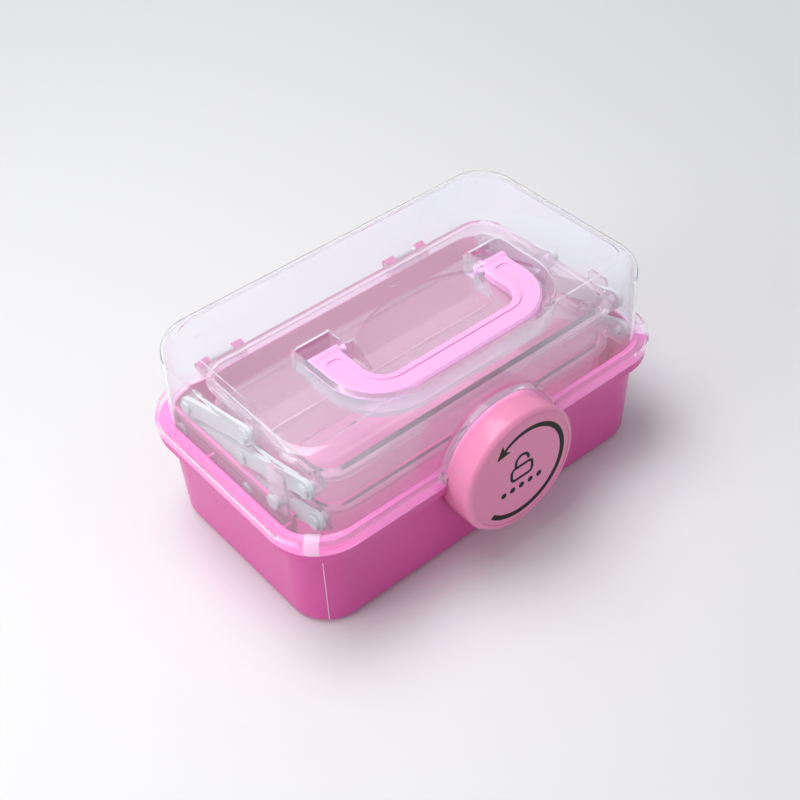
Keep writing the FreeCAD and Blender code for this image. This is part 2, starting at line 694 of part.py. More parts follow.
def foot_section(body, height, half, front, back):
    sketch = new_sketch(body, "XY", height)
    wide = "(%s)" % half
    draw_polygon(sketch, [("-" + wide, back), ("-" + wide, front), (wide, front), (wide, back)])
    return sketch


def add_recess(body):
    """Recess for the folded handle with a ramp for the fingers behind the grip."""
    sketch = new_sketch(body, "XY", "recess_floor - lid_skin")
    draw_outline(sketch, recess_outline("lid_skin"))
    pad(body, sketch, "lid_top - deep_bite - recess_floor + lid_skin")
    low = foot_section(body, "recess_floor - lid_skin", "ramp_half", "ramp_foot - ramp_lap",
                       "ramp_foot + lid_skin")
    high = ramp_section(body, "lid_top - deep_bite", "ramp_half", "ramp_foot - ramp_lap",
                        "ramp_crest + lid_skin")
    loft(body, low, high, "Additive")
    above = "lid_top + panel_rise + cut_past"
    sketch = new_sketch(body, "XY", above)
    draw_outline(sketch, recess_outline("0"))
    pocket(body, sketch, "%s - recess_floor" % above)
    low = foot_section(body, "recess_floor", "ramp_half", "ramp_foot - cut_past", "ramp_foot")
    high = ramp_section(body, above, "ramp_half", "ramp_foot - cut_past", "ramp_crest + crest_lean")
    loft(body, low, high, "Subtractive")
    for start, backwards in (("ear_outer + cut_past", False), ("-(ear_outer + cut_past)", True)):
        bore(body, "YZ", "handle_y", "handle_z", "handle_pin_r + run_gap", start,
             "ear_outer + cut_past - handle_pin_end + pin_end_gap", backwards)


def add_collar(body):
    """Collar of the lid that follows the upper half of the knob."""
    sketch = new_sketch(body, "XZ", "-lid_front - lid_lean")
    draw_circle(sketch, "0", "knob_z", "collar_inner + collar_thick")
    pad(body, sketch, "collar_front + lid_front + lid_lean")
    outside = "box_depth / 2 + flare_out + cut_past"
    bore(body, "XZ", "0", "knob_z", "collar_inner", outside, "%s + lid_front" % outside)
    before = "collar_front + cut_past"
    sketch = new_sketch(body, "XZ", before)
    wide = "collar_inner + collar_thick + cut_past"
    draw_outline(sketch, mirror_corners(wide, "knob_z - (%s)" % wide, "rim_top + lid_gap", None))
    pocket(body, sketch, "%s + lid_front + lid_lean + cut_past" % before)
    sketch = new_sketch(body, "XY", LID_FOOT)
    draw_outline(sketch, mirror_corners(wide, "lip_inset - box_depth / 2 - lip_gap",
                                        "lid_front + lid_lean + cut_past", None))
    pocket(body, sketch, "%s - rim_top" % LID_FOOT)


def add_tabs(body):
    """Flat straps over the skirt at the two front corners."""
    sketch = new_sketch(body, "XY", "flare_top - bite")
    near = "rim_corner + flare_out - tab_long"
    far = "rim_corner + flare_out - flare_round"
    for sign in ("", "-"):
        points = []
        for reach, half in ((near, "-tab_half"), (near, "tab_half"), (far, "tab_half"), (far, "-tab_half")):
            x = "box_length / 2 - rim_corner + (%s) * cos(tab_turn) - %s * sin(tab_turn)" % (reach, half)
            y = "box_depth / 2 - rim_corner + (%s) * sin(tab_turn) + %s * cos(tab_turn)" % (reach, half)
            points.append(("%s(%s)" % (sign, x), "-(%s)" % y))
        draw_polygon(sketch, points)
    pad(body, sketch, "tab_rise + bite")


def add_moulding_marks(body):
    """Four dimples near the corners of the top panel and the gate in its middle."""
    top = "lid_top + panel_rise"
    sketch = new_sketch(body, "XY", top)
    inset = "lid_lean + dimple_inset"
    for x in ("lid_half - (%s)" % inset, "%s - lid_half" % inset):
        for y in ("lid_front + %s" % inset, "lid_back - (%s)" % inset):
            draw_circle(sketch, x, y, "dimple_r")
    pocket(body, sketch, "dimple_deep")
    disc(body, "XY", "0", "gate_y", "gate_r", "%s - bite" % top, "gate_rise + bite")


def add_lid_knuckle(body, side):
    place = "hinge_x * %s - knuckle_half" % side
    sketch = new_sketch(body, "YZ", place)
    near = "box_depth / 2 + flare_out - deep_bite"
    draw_polygon(sketch, [(near, "rim_top + lid_gap"), ("hinge_y", "rim_top + lid_gap"),
                          ("hinge_y", "hinge_z + knuckle_r"),
                          (near, "hinge_z + knuckle_r * brace_up")])
    pad(body, sketch, "knuckle_half * 2")
    disc(body, "YZ", "hinge_y", "hinge_z", "knuckle_r", place, "knuckle_half * 2")
    bore(body, "YZ", "hinge_y", "hinge_z", "hinge_pin_r + run_gap",
         "%s + knuckle_half * 2 + cut_past" % place, "knuckle_half * 2 + 2 * cut_past")


def build_handle():
    body = new_body("carry_handle")
    outline = [("-handle_outer", "handle_y", None), ("-handle_outer", "grip_front", "handle_bend"),
               ("handle_outer", "grip_front", "handle_bend"), ("handle_outer", "handle_y", None),
               ("handle_inner", "handle_y", None), ("handle_inner", "grip_back", "handle_inside"),
               ("-handle_inner", "grip_back", "handle_inside"), ("-handle_inner", "handle_y", None)]
    slab(body, "XY", outline, "handle_bottom", "handle_top - handle_bottom")

    def chosen(edge):
        box = edge.BoundBox
        level = abs(box.ZMax - box.ZMin) < LEVEL_TOLERANCE
        return level and not level_at("handle_y", "Y")(edge)
    chamfer(body, chosen, "handle_edge")
    add_track(body)
    width = "handle_outer - handle_inner"
    for start in ("handle_inner", "-handle_outer"):
        disc(body, "YZ", "handle_y", "handle_z", "handle_end_r", start, width)
    reach = "handle_inner - handle_pin_end + deep_bite"
    for start in ("handle_pin_end", "-handle_inner - deep_bite"):
        disc(body, "YZ", "handle_y", "handle_z", "handle_pin_r", start, reach)
    return body


def add_track(body):
    """Shallow track along the top of the handle, with round ends on the legs."""
    outer = "handle_outer - track_inset"
    inner = "handle_inner + track_inset"
    front = "grip_front + track_inset"
    back = "grip_back - track_inset"
    bend = "handle_bend - track_inset"
    inside = "handle_inside + track_inset"
    end = ("track_back", "track_end")
    sketch = new_sketch(body, "XY", "handle_top")
    draw_outline(sketch, [("-(%s)" % outer, *end), ("-(%s)" % outer, front, bend),
                          (outer, front, bend), (outer, *end),
                          (inner, *end), (inner, back, inside),
                          ("-(%s)" % inner, back, inside), ("-(%s)" % inner, *end)])
    pocket(body, sketch, "track_deep")


def build_knob():
    body = new_body("lock_knob")
    disc(body, "XZ", "0", "knob_z", "knob_r", "knob_back", "knob_face - knob_back")
    soften(body, "-knob_face", "-knob_face + knob_round", "knob_round", "Y")
    bore(body, "XZ", "0", "knob_z", "knob_dish_r", "knob_face + cut_past", "knob_dish + cut_past")
    bore(body, "XZ", "0", "knob_z", "knob_r - knob_skin", "knob_back - cut_past",
         "knob_face - knob_back - knob_skin - knob_dish + cut_past", True)
    inner = "knob_face - knob_skin"
    disc(body, "XZ", "0", "knob_z", "post_r", "post_back", "%s - post_back" % inner)
    disc(body, "XZ", "0", "knob_z", "journal_r", "journal_back", "post_back - journal_back + deep_bite")
    bore(body, "XZ", "0", "knob_z", "screw_r + run_gap", "journal_back - cut_past",
         "screw_depth + 2 * cut_past", True)
    lug = box_corners("lug_bite - knob_r", "-lug_inner", "knob_z - lug_half", "knob_z + lug_half")
    slab(body, "XZ", lug, "lug_back", "knob_back + lug_root - lug_back")
    return body


TRAY_RIM = ("tray_half", "tray_front", "tray_back", "tray_corner")
TRAY_WALL = ("tray_half - tray_rim", "tray_front + tray_rim", "tray_back - tray_rim",
             "tray_corner - tray_rim")


def new_tray(name, rim):
    body = new_body(name)
    tub(body, TRAY_WALL, "%s - tray_tall" % rim, rim, "tray_draft", TRAY_RIM,
        ("tray_rim_drop", "tray_rim_skin"))
    hollow(body, TRAY_WALL, "%s - tray_tall + tray_wall" % rim, rim, "tray_draft", "tray_wall")
    return body


def build_top_tray():
    body = new_tray("top_tray", "top_tray_rim")
    sketch = new_sketch(body, "XZ", "-divider_y - divider_thick / 2")
    top = "tray_half - tray_rim - tray_wall / 2"
    low = "%s - tray_draft" % top
    floor = "top_tray_rim - tray_tall + tray_wall / 2"
    high = "top_tray_rim - divider_low"
    draw_polygon(sketch, [("-(%s)" % low, floor), (low, floor), (top, high), ("-(%s)" % top, high)])
    pad(body, sketch, "divider_thick")
    for pin in ("base_pin_back - 2 * arm_run", "base_pin_back - 2 * arm_run + tray_pin_step"):
        add_tray_bosses(body, pin, "base_pin_z + 2 * arm_rise", "tray_half - tray_rim - boss_sink")
    return body


def add_tray_bosses(body, y, z, inner):
    """Round bosses on both sides with a hole for a rivet."""
    face = "(arm_inner - side_gap)"
    length = "%s - (%s)" % (face, inner)
    disc(body, "YZ", y, z, "boss_r", inner, length)
    disc(body, "YZ", y, z, "boss_r", "-" + face, length)
    bore(body, "YZ", y, z, "rivet_r + run_gap", "arm_inner", "rivet_depth + side_gap")
    bore(body, "YZ", y, z, "rivet_r + run_gap", "-arm_inner", "rivet_depth + side_gap", True)


def build_middle_tray():
    body = new_tray("middle_tray", "middle_tray_rim")
    face = "(arm_inner - side_gap)"
    middle = "base_pin_back - arm_run"
    front = "base_pin_front - arm_run"
    back = "%s + tray_pin_step" % middle
    height = "base_pin_z + arm_rise"
    low = "middle_tray_rim - tray_rim_drop - strip_drop"
    for sign in ("", "-"):
        near = "ear_inner" if not sign else "-" + face
        strip = box_corners("%s - boss_r" % front, "%s + boss_r" % back, low, "middle_tray_rim")
        slab(body, "YZ", strip, near, "%s - ear_inner" % face)
        link = box_corners("guide_front + bridge_inset", "guide_back - bridge_inset", low, "bridge_top")
        slab(body, "YZ", link, near, "%s - ear_inner" % face)
        bridge = box_corners("guide_front + bridge_inset", "guide_back - bridge_inset",
                             "bridge_low", "bridge_top")
        start = "%s - deep_bite" % face if not sign else "-guide_inner - deep_bite"
        slab(body, "YZ", bridge, start, "guide_inner - %s + 2 * deep_bite" % face)
        plate = box_corners("guide_front", "guide_back", "guide_low", "guide_top", "guide_corner")
        start = "guide_inner" if not sign else "-guide_inner - guide_thick"
        slab(body, "YZ", plate, start, "guide_thick")
        start = "guide_inner + guide_thick + cut_past" if not sign else "-guide_inner + cut_past"
        bore(body, "YZ", "stop_y", "stop_z", "stop_r + run_gap", start, "guide_thick + 2 * cut_past")
    for pin in (middle, front, back):
        add_tray_bosses(body, pin, height, "ear_inner")
    return body


def build_arm(name, side, y, z, reach):
    """Flat link with round ends; reach counts half lengths of the long arm."""
    body = new_body(name)
    start = "arm_inner" if side > 0 else "-arm_inner - arm_thick"
    sketch = new_sketch(body, "YZ", start)
    ends = [(y, z), ("%s - %d * arm_run" % (y, reach), "%s + %d * arm_rise" % (z, reach))]
    spots = [Vector(value(a), value(b), 0) for a, b in ends]
    along = (spots[1] - spots[0]).normalize()
    across = Vector(-along.y, along.x, 0) * value("arm_width / 2")
    first = sketch.addGeometry(Part.LineSegment(spots[0] + across, spots[1] + across), False)
    second = sketch.addGeometry(Part.LineSegment(spots[1] - across, spots[0] - across), False)
    arcs = []
    for spot, outward in ((spots[1], along), (spots[0], along * -1)):
        angle = Vector(1, 0, 0).getAngle(outward)
        if outward.y < 0:
            angle = -angle
        circle = Part.Circle(spot, Vector(0, 0, 1), value("arm_width / 2"))
        quarter = math.pi / 2
        arcs.append(sketch.addGeometry(Part.ArcOfCircle(circle, angle - quarter, angle + quarter), False))
    sketch.addConstraint(Sketcher.Constraint("Tangent", first, 2, arcs[0], 2))
    sketch.addConstraint(Sketcher.Constraint("Tangent", second, 1, arcs[0], 1))
    sketch.addConstraint(Sketcher.Constraint("Tangent", second, 2, arcs[1], 2))
    sketch.addConstraint(Sketcher.Constraint("Tangent", first, 1, arcs[1], 1))
    for arc, (a, b) in zip(arcs, reversed(ends)):
        add_size(sketch, "DistanceX", (-1, 1, arc, 3), a)
        add_size(sketch, "DistanceY", (-1, 1, arc, 3), b)
    add_size(sketch, "Radius", (arcs[0],), "arm_width / 2")
    for step in range(reach + 1):
        draw_circle(sketch, "%s - %d * arm_run" % (y, step), "%s + %d * arm_rise" % (z, step),
                    "rivet_r + run_gap")
    pad(body, sketch, "arm_thick")
    return body


def lying_cylinder(radius, length, x, y, z, direction):
    """Cylinder along X or Y whose sizes and place follow the sheet."""
    item = doc.addObject("Part::Cylinder", "cylinder")
    item.setExpression("Radius", formula(radius))
    item.setExpression("Height", formula(length))
    turn = FreeCAD.Rotation(Vector(0, 0, 1), direction)
    item.Placement = FreeCAD.Placement(Vector(), turn)
    for axis, text in zip("xyz", (x, y, z)):
        item.setExpression("Placement.Base." + axis, formula(text))
    return item


def fused(name, items):
    item = doc.addObject("Part::MultiFuse", name)
    item.Shapes = items
    return item


def mirrored(item):
    copy = doc.addObject("Part::Mirroring", "mirror")
    copy.Source = item
    copy.Normal = Vector(1, 0, 0)
    return copy


def pair(name, item):
    """The piece and its mirror image as one node of two solids."""
    group = doc.addObject("Part::Compound", name)
    group.Links = [item, mirrored(item)]
    group.Label = name
    return group


ALONG_X = Vector(1, 0, 0)
ALONG_Y = Vector(0, 1, 0)


def rivet(y, z, shank_start, shank_end, heads):
    """Round shank along X with a head starting at each listed place."""
    items = [lying_cylinder("rivet_r", "%s - (%s)" % (shank_end, shank_start),
                            shank_start, y, z, ALONG_X)]
    for start in heads:
        items.append(lying_cylinder("rivet_head_r", "rivet_head", start, y, z, ALONG_X))
    return fused("rivet", items)


def build_rivets():
    nodes = []
    outer = "arm_inner + arm_thick + side_gap"
    inner_head = "arm_inner - side_gap - rivet_head"
    rail_head = "rail_inner + rail_thick + side_gap"
    for name, y in (("base_rear_rivets", "base_pin_back"), ("base_front_rivets", "base_pin_front")):
        piece = rivet(y, "base_pin_z", inner_head, "%s + rivet_head" % rail_head,
                      [inner_head, rail_head])
        nodes.append(pair(name, piece))
    middle = "base_pin_back - arm_run"
    top = "base_pin_back - 2 * arm_run"
    level = "base_pin_z + arm_rise"
    high = "base_pin_z + 2 * arm_rise"
    places = [("middle_centre_rivets", middle, level),
              ("middle_front_rivets", "base_pin_front - arm_run", level),
              ("middle_rear_rivets", "%s + tray_pin_step" % middle, level),
              ("top_front_rivets", top, high),
              ("top_rear_rivets", "%s + tray_pin_step" % top, high)]
    for name, y, z in places:
        piece = rivet(y, z, "arm_inner - rivet_depth + rivet_end_gap", "%s + rivet_head" % outer, [outer])
        nodes.append(pair(name, piece))
    start = "rail_inner + stop_end_gap"
    end = "guide_inner + guide_thick"
    length = "%s - (%s) + deep_bite" % (end, start)
    items = [lying_cylinder("stop_r", length, start, "stop_y", "stop_z", ALONG_X),
             lying_cylinder("stop_head_r", "rivet_head", end, "stop_y", "stop_z", ALONG_X)]
    nodes.append(pair("stop_pins", fused("stop_pin", items)))
    return nodes


def build_hinge_pins():
    nodes = []
    half = "(knuckle_half + knuckle_gap + knuckle_side)"
    for name, side in (("right_hinge_pin", "1"), ("left_hinge_pin", "-1")):
        item = lying_cylinder("hinge_pin_r", "2 * %s" % half, "hinge_x * %s - %s" % (side, half),
                              "hinge_y", "hinge_z", ALONG_X)
        item.Label = name
        nodes.append(item)
    return nodes


def build_screw():
    items = [lying_cylinder("screw_r", "screw_depth + deep_bite", "0", "-journal_back - screw_depth",
                            "knob_z", ALONG_Y),
             lying_cylinder("screw_head_r", "screw_head", "0", "-journal_back", "knob_z", ALONG_Y)]
    item = fused("knob_screw", items)
    item.Label = "knob_screw"
    return item


def build_all():
    nodes = [build_base(), build_lid(), build_handle(), build_knob(), build_top_tray(),
             build_middle_tray(), build_screw()]
    middle = "base_pin_back - arm_run"
    for word, side in (("left", -1), ("right", 1)):
        nodes.append(build_arm(word + "_long_arm", side, "base_pin_back", "base_pin_z", 2))
        nodes.append(build_arm(word + "_front_arm", side, "base_pin_front", "base_pin_z", 1))
        nodes.append(build_arm(word + "_rear_arm", side, "%s + tray_pin_step" % middle,
                               "base_pin_z + arm_rise", 1))
    return nodes + build_rivets() + build_hinge_pins()


def write(nodes):
    """Check every object and shape, then write one file for each node."""
    doc.recompute()
    for item in doc.Objects:
        state = [word for word in item.State if word in ("Invalid", "Error")]
        if state:
            raise RuntimeError("%s is %s" % (item.Label, state))
    os.makedirs("parts", exist_ok=True)
    for node in nodes:
        shape = node.Shape
        if shape.isNull() or not shape.isValid():
            raise RuntimeError("%s has a bad shape" % node.Label)
        shape.exportStep("parts/%s.step" % node.Label)
        box = shape.BoundBox
        print("%-22s solids %d volume %9.1f  x %.1f %.1f  y %.1f %.1f  z %.1f %.1f" % (
            node.Label, len(shape.Solids), shape.Volume, box.XMin, box.XMax,
            box.YMin, box.YMax, box.ZMin, box.ZMax))


write(build_all())
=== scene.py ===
import json
import math

import bpy
from mathutils import Matrix, Vector


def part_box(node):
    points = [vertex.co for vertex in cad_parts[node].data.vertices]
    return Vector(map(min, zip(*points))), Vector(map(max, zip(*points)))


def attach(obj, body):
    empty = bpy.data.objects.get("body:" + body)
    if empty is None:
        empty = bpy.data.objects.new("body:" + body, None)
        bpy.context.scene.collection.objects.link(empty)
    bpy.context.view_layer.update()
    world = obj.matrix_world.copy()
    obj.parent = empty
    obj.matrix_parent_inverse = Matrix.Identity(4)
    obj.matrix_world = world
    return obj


# The craft box as it stands in a plain, soft-lit studio. Metres, in the frame
# of the CAD model: Z up, X to the right, the knob facing -Y.

MM = 0.001

# The camera was fitted to the edges of the box in the photograph.
CAMERA_PLACE = Vector((-0.4191, -0.5219, 0.6769))
CAMERA_RIGHT = Vector((0.7626, -0.6458, -0.0366))
CAMERA_UP = Vector((0.4608, 0.5026, 0.7315))
CAMERA_LENS = 62.25
CAMERA_SENSOR = 36.0

# Colours are in linear light. A haze is the share of the light that is scattered and not let through.
PINK = (0.69, 0.092, 0.37)
PALE_PINK = (0.94, 0.48, 0.80)
ROSE = (0.82, 0.27, 0.46)
CLEAR_TINT = (0.965, 0.970, 1.0)
CLEAR_HAZE = 0.07
# The frosted trays' pink tint is painted light: the pink of the box shining through them.
FROST_PAINTED_PINK_LIGHT = (0.98, 0.85, 0.93)
FROST_HAZE = 0.08
STRAP_HAZE = 0.16
THIN_WALL_IOR = 1.13
COAT_SHARE = 0.7
COAT_ROUGHNESS = 0.04
CLEAR_DRIFT = 0.3
PINK_DRIFT = 0.03
MILKY = (0.55, 0.55, 0.56)
STEEL = (0.55, 0.55, 0.57)
# Pale pink of the line up the base's corner: a painted highlight.
PAINTED_HIGHLIGHT_PINK = (0.93, 0.62, 0.80)
INK = (0.002, 0.002, 0.002)

# Softened edges of the moulded pieces.
HANDLE_EDGE = 0.6 * MM
KNOB_EDGE = 0.6 * MM
BASE_EDGE = 0.4 * MM
EDGE_STEPS = 3
EDGE_ANGLE = 20.0
WELD_REACH = 0.002 * MM

# Print on the knob, measured from the knob's axis. Angles are in degrees.
INK_THICK = 0.06 * MM
KNOB_DISH = 0.5 * MM
RING_RADIUS = 34.2 * MM
RING_NEAR = 30.0 * MM
RING_STROKE = 3.7 * MM
RING_THIN = 2.3 * MM
RING_HEAD = 119.0
RING_TAIL = -135.0
RING_STEPS = 120
RING_GROWS = 48
ARROW_LONG = 8.0 * MM
ARROW_BACK = 1.8 * MM
ARROW_HALF = 5.6 * MM
ARROW_NOTCH = 0.2 * MM
LOCK_STROKE = 2.2 * MM
LOCK_HALF = 8.6 * MM
LOCK_LOW = -4.6 * MM
LOCK_TALL = 10.0 * MM
LOCK_CORNER = 3.2 * MM
CORNER_STEPS = 8
SHACKLE_RADIUS = 5.2 * MM
SHACKLE_RISE = 3.6 * MM
SHACKLE_START = 180.0
SHACKLE_END = -10.0
SHACKLE_STEPS = 24
DOT_RADIUS = 2.2 * MM
DOT_STEP = 7.4 * MM
DOT_DROP = 12.0 * MM
DOTS_PER_SIDE = 2
DOT_SIDES = 24

# Straps at the front corners of the lid: how far each point lies from the centre of the
# corner, and its height, in millimetres, first under and then over the strap.
SKIRT_CORNER = 36.0 * MM
STRAP_HALF = 4.6 * MM
STRAP_PROFILE = (((27.1, 85.32), (27.1, 85.75)), ((33.95, 85.32), (34.15, 85.75)),
                 ((36.06, 82.35), (36.5, 82.5)), ((36.06, 77.0), (36.5, 77.0)))

# Painted highlight: a thin raised pale pink line up the front left corner of the base, measured from the
# centre of the corner.
HIGHLIGHT_LINE_CENTRE = 37.0 * MM
HIGHLIGHT_LINE_TURN = 232.5
HIGHLIGHT_LINE_HALF = 0.25 * MM
HIGHLIGHT_LINE_SUNK = 0.3 * MM
HIGHLIGHT_LINE_RISE = 0.12 * MM
HIGHLIGHT_LINE_LOW = 4.0 * MM
HIGHLIGHT_LINE_HIGH = 69.0 * MM
HIGHLIGHT_LINE_LOW_RADIUS = 27.27 * MM
HIGHLIGHT_LINE_HIGH_RADIUS = 30.1 * MM

# The studio. The world lights the box with one strength and shows with another. Each lamp has
# its name, place, size and power in watts.
FLOOR_TONE = (0.80, 0.80, 0.81)
FLOOR_ROUGHNESS = 0.6
FLOOR_SIZE = 30.0
FADE_START = 0.5
FADE_END = 1.6
WORLD_COLOUR = (0.93, 0.94, 0.97)
WORLD_LIGHT = 0.38
WORLD_SEEN = 0.90
LIGHT_AIM = Vector((0.0, 0.0, 0.07))
LIGHTS = (("top light", (-0.25, 0.35, 1.4), (1.2, 0.9), 15.0),
          ("left light", (-1.3, 0.1, 0.7), (0.8, 0.8), 6.5),
          ("front light", (0.5, -1.6, 0.8), (1.0, 0.6), 1.5))

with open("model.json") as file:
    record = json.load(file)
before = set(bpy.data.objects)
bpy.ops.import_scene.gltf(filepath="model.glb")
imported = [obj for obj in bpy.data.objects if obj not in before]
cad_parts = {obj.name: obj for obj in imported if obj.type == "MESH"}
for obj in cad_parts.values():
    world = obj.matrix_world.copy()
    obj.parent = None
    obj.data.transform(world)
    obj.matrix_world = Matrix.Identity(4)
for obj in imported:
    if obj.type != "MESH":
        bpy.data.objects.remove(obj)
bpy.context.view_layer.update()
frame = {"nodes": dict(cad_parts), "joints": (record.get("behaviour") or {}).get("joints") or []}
nodes = frame["nodes"]


def plain_material(name, colour, roughness):
    """A material whose one colour and roughness sit on the shader itself."""
    material = bpy.data.materials.new(name)
    material.use_nodes = True
    shader = material.node_tree.nodes["Principled BSDF"]
    shader.inputs["Base Color"].default_value = (*colour, 1.0)
    shader.inputs["Roughness"].default_value = roughness
    return material, shader


def noise_over(tree, scale, detail=0.0):
    """The socket of a noise that lies fixed on the piece."""
    place = tree.nodes.new("ShaderNodeTexCoord")
    noise = tree.nodes.new("ShaderNodeTexNoise")
    noise.inputs["Scale"].default_value = scale
    noise.inputs["Detail"].default_value = detail
    tree.links.new(place.outputs["Object"], noise.inputs["Vector"])
    return noise.outputs["Fac"]


def vary_roughness(material, shader, scale, low, high):
    """Let the roughness drift between two values over the surface."""
    tree = material.node_tree
    spread = tree.nodes.new("ShaderNodeMapRange")
    spread.inputs["To Min"].default_value = low
    spread.inputs["To Max"].default_value = high
    tree.links.new(noise_over(tree, scale), spread.inputs["Value"])
    tree.links.new(spread.outputs["Result"], shader.inputs["Roughness"])


def add_mottle(material, shader, colour, scale, spread):
    """Let the colour drift a little over the moulding."""
    tree = material.node_tree
    ramp = tree.nodes.new("ShaderNodeValToRGB")
    dark, light = ramp.color_ramp.elements
    dark.position = 0.3
    light.position = 0.7
    dark.color = (*[part * (1.0 - spread) for part in colour], 1.0)
    light.color = (*[min(1.0, part * (1.0 + spread)) for part in colour], 1.0)
    tree.links.new(noise_over(tree, scale), ramp.inputs["Fac"])
    tree.links.new(ramp.outputs["Color"], shader.inputs["Base Color"])


def add_grain(material, shader, scale, distance):
    """Give the surface the faint uneven skin of a moulding."""
    tree = material.node_tree
    bump = tree.nodes.new("ShaderNodeBump")
    bump.inputs["Strength"].default_value = 1.0
    bump.inputs["Distance"].default_value = distance
    tree.links.new(noise_over(tree, scale, detail=2.0), bump.inputs["Height"])
    tree.links.new(bump.outputs["Normal"], shader.inputs["Normal"])


def pink_plastic(name, colour, roughness, grain):
    """Solid glossy plastic that lets a little light under its skin."""
    material, shader = plain_material(name, colour, roughness)
    shader.inputs["Specular IOR Level"].default_value = 0.35
    shader.inputs["Subsurface Weight"].default_value = 0.12
    shader.inputs["Subsurface Radius"].default_value = (1.0, 0.35, 0.6)
    shader.inputs["Subsurface Scale"].default_value = 4.0 * MM
    vary_roughness(material, shader, scale=22.0, low=roughness - PINK_DRIFT, high=roughness + PINK_DRIFT)
    add_mottle(material, shader, colour, scale=7.0, spread=0.012)
    add_grain(material, shader, scale=260.0, distance=grain)
    return material


def clear_plastic(name, tint, haze, roughness):
    """Clear plastic with a little haze; lamps shine through its thin walls.

    The bend of its light is that of a thin wall, and the coat gives it the gloss of a thick one.
    """
    material, shader = plain_material(name, tint, roughness)
    shader.inputs["Transmission Weight"].default_value = 1.0 - haze
    shader.inputs["IOR"].default_value = THIN_WALL_IOR
    shader.inputs["Coat Weight"].default_value = COAT_SHARE
    shader.inputs["Coat Roughness"].default_value = COAT_ROUGHNESS
    drift = roughness * CLEAR_DRIFT
    vary_roughness(material, shader, scale=14.0, low=roughness - drift, high=roughness + drift)
    tree = material.node_tree
    path = tree.nodes.new("ShaderNodeLightPath")
    through = tree.nodes.new("ShaderNodeBsdfTransparent")
    through.inputs["Color"].default_value = (*tint, 1.0)
    mix_shaders(tree, path.outputs["Is Shadow Ray"], shader.outputs["BSDF"], through.outputs["BSDF"])
    return material


def mix_shaders(tree, share, first, second):
    """Send a mix of two shaders to the surface; share is that of the second one."""
    mix = tree.nodes.new("ShaderNodeMixShader")
    output = tree.nodes["Material Output"]
    tree.links.new(share, mix.inputs["Fac"])
    tree.links.new(first, mix.inputs[1])
    tree.links.new(second, mix.inputs[2])
    tree.links.new(mix.outputs["Shader"], output.inputs["Surface"])


def milky_plastic():
    """Undyed plastic of the arms and rivets, which lets a little light in."""
    material, shader = plain_material("milky plastic", MILKY, roughness=0.4)
    shader.inputs["Transmission Weight"].default_value = 0.25
    shader.inputs["Subsurface Weight"].default_value = 0.2
    shader.inputs["Subsurface Radius"].default_value = (1.0, 1.0, 1.0)
    shader.inputs["Subsurface Scale"].default_value = 3.0 * MM
    vary_roughness(material, shader, scale=80.0, low=0.34, high=0.46)
    add_mottle(material, shader, MILKY, scale=25.0, spread=0.03)
    return material


def steel():
    material, shader = plain_material("steel", STEEL, roughness=0.3)
    shader.inputs["Metallic"].default_value = 1.0
    vary_roughness(material, shader, scale=400.0, low=0.22, high=0.38)
    return material


def ink():
    material, shader = plain_material("ink", INK, roughness=0.45)
    shader.inputs["Specular IOR Level"].default_value = 0.2
    vary_roughness(material, shader, scale=500.0, low=0.4, high=0.5)
    return material


# Pale pink for the line up the base's corner, a painted highlight.
def painted_highlight_plastic():
    material, shader = plain_material("painted highlight", PAINTED_HIGHLIGHT_PINK, roughness=0.3)
    vary_roughness(material, shader, scale=300.0, low=0.25, high=0.4)
    return material


def soften_edges(node, width):
    """Round the sharp edges of a CAD piece a little, as a mould leaves them."""
    piece = nodes[node]
    weld = piece.modifiers.new("weld", "WELD")
    weld.merge_threshold = WELD_REACH
    rounding = piece.modifiers.new("rounding", "BEVEL")
    rounding.width = width
    rounding.segments = EDGE_STEPS
    rounding.limit_method = "ANGLE"
    rounding.angle_limit = math.radians(EDGE_ANGLE)
    rounding.harden_normals = True


def dress_all():
    """Give every CAD piece its material; arms, rivets and stop pins are of milky plastic."""
    pink = pink_plastic("pink plastic", PINK, roughness=0.22, grain=0.004 * MM)
    pale = pink_plastic("pale pink plastic", PALE_PINK, roughness=0.18, grain=0.003 * MM)
    rose = pink_plastic("rose plastic", ROSE, roughness=0.16, grain=0.003 * MM)
    clear = clear_plastic("clear plastic", CLEAR_TINT, CLEAR_HAZE, roughness=0.02)
    frosted = clear_plastic("frosted plastic", FROST_PAINTED_PINK_LIGHT, FROST_HAZE, roughness=0.12)
    milky = milky_plastic()
    metal = steel()
    finishes = {"base_box": pink, "carry_handle": pale, "lock_knob": rose, "lid": clear,
                "top_tray": frosted, "middle_tray": frosted, "knob_screw": metal,
                "left_hinge_pin": metal, "right_hinge_pin": metal}
    for name, piece in nodes.items():
        piece.data.materials.clear()
        piece.data.materials.append(finishes.get(name, milky))
    soften_edges("carry_handle", HANDLE_EDGE)
    soften_edges("lock_knob", KNOB_EDGE)
    soften_edges("base_box", BASE_EDGE)


def add_piece(name, points, faces, material, body):
    mesh = bpy.data.meshes.new(name)
    mesh.from_pydata(points, [], faces)
    mesh.validate()
    mesh.materials.append(material)
    piece = bpy.data.objects.new(name, mesh)
    bpy.context.scene.collection.objects.link(piece)
    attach(piece, body)
    return piece


def joint_place(name):
    for joint in frame["joints"]:
        if joint["name"] == name:
            return Vector(joint["pos_m"])
    raise ValueError(name)


def bar_faces(rows, closed=False):
    """Faces of a bar whose rows have four points each, with its two ends if it isn't closed."""
    faces = []
    for row in range(rows if closed else rows - 1):
        here = 4 * row
        there = 4 * ((row + 1) % rows)
        for first, second in ((0, 1), (1, 3), (3, 2), (2, 0)):
            faces.append((here + first, here + second, there + second, there + first))
    if not closed:
        last = 4 * (rows - 1)
        faces.append((2, 3, 1, 0))
        faces.append((last, last + 1, last + 3, last + 2))
    return faces


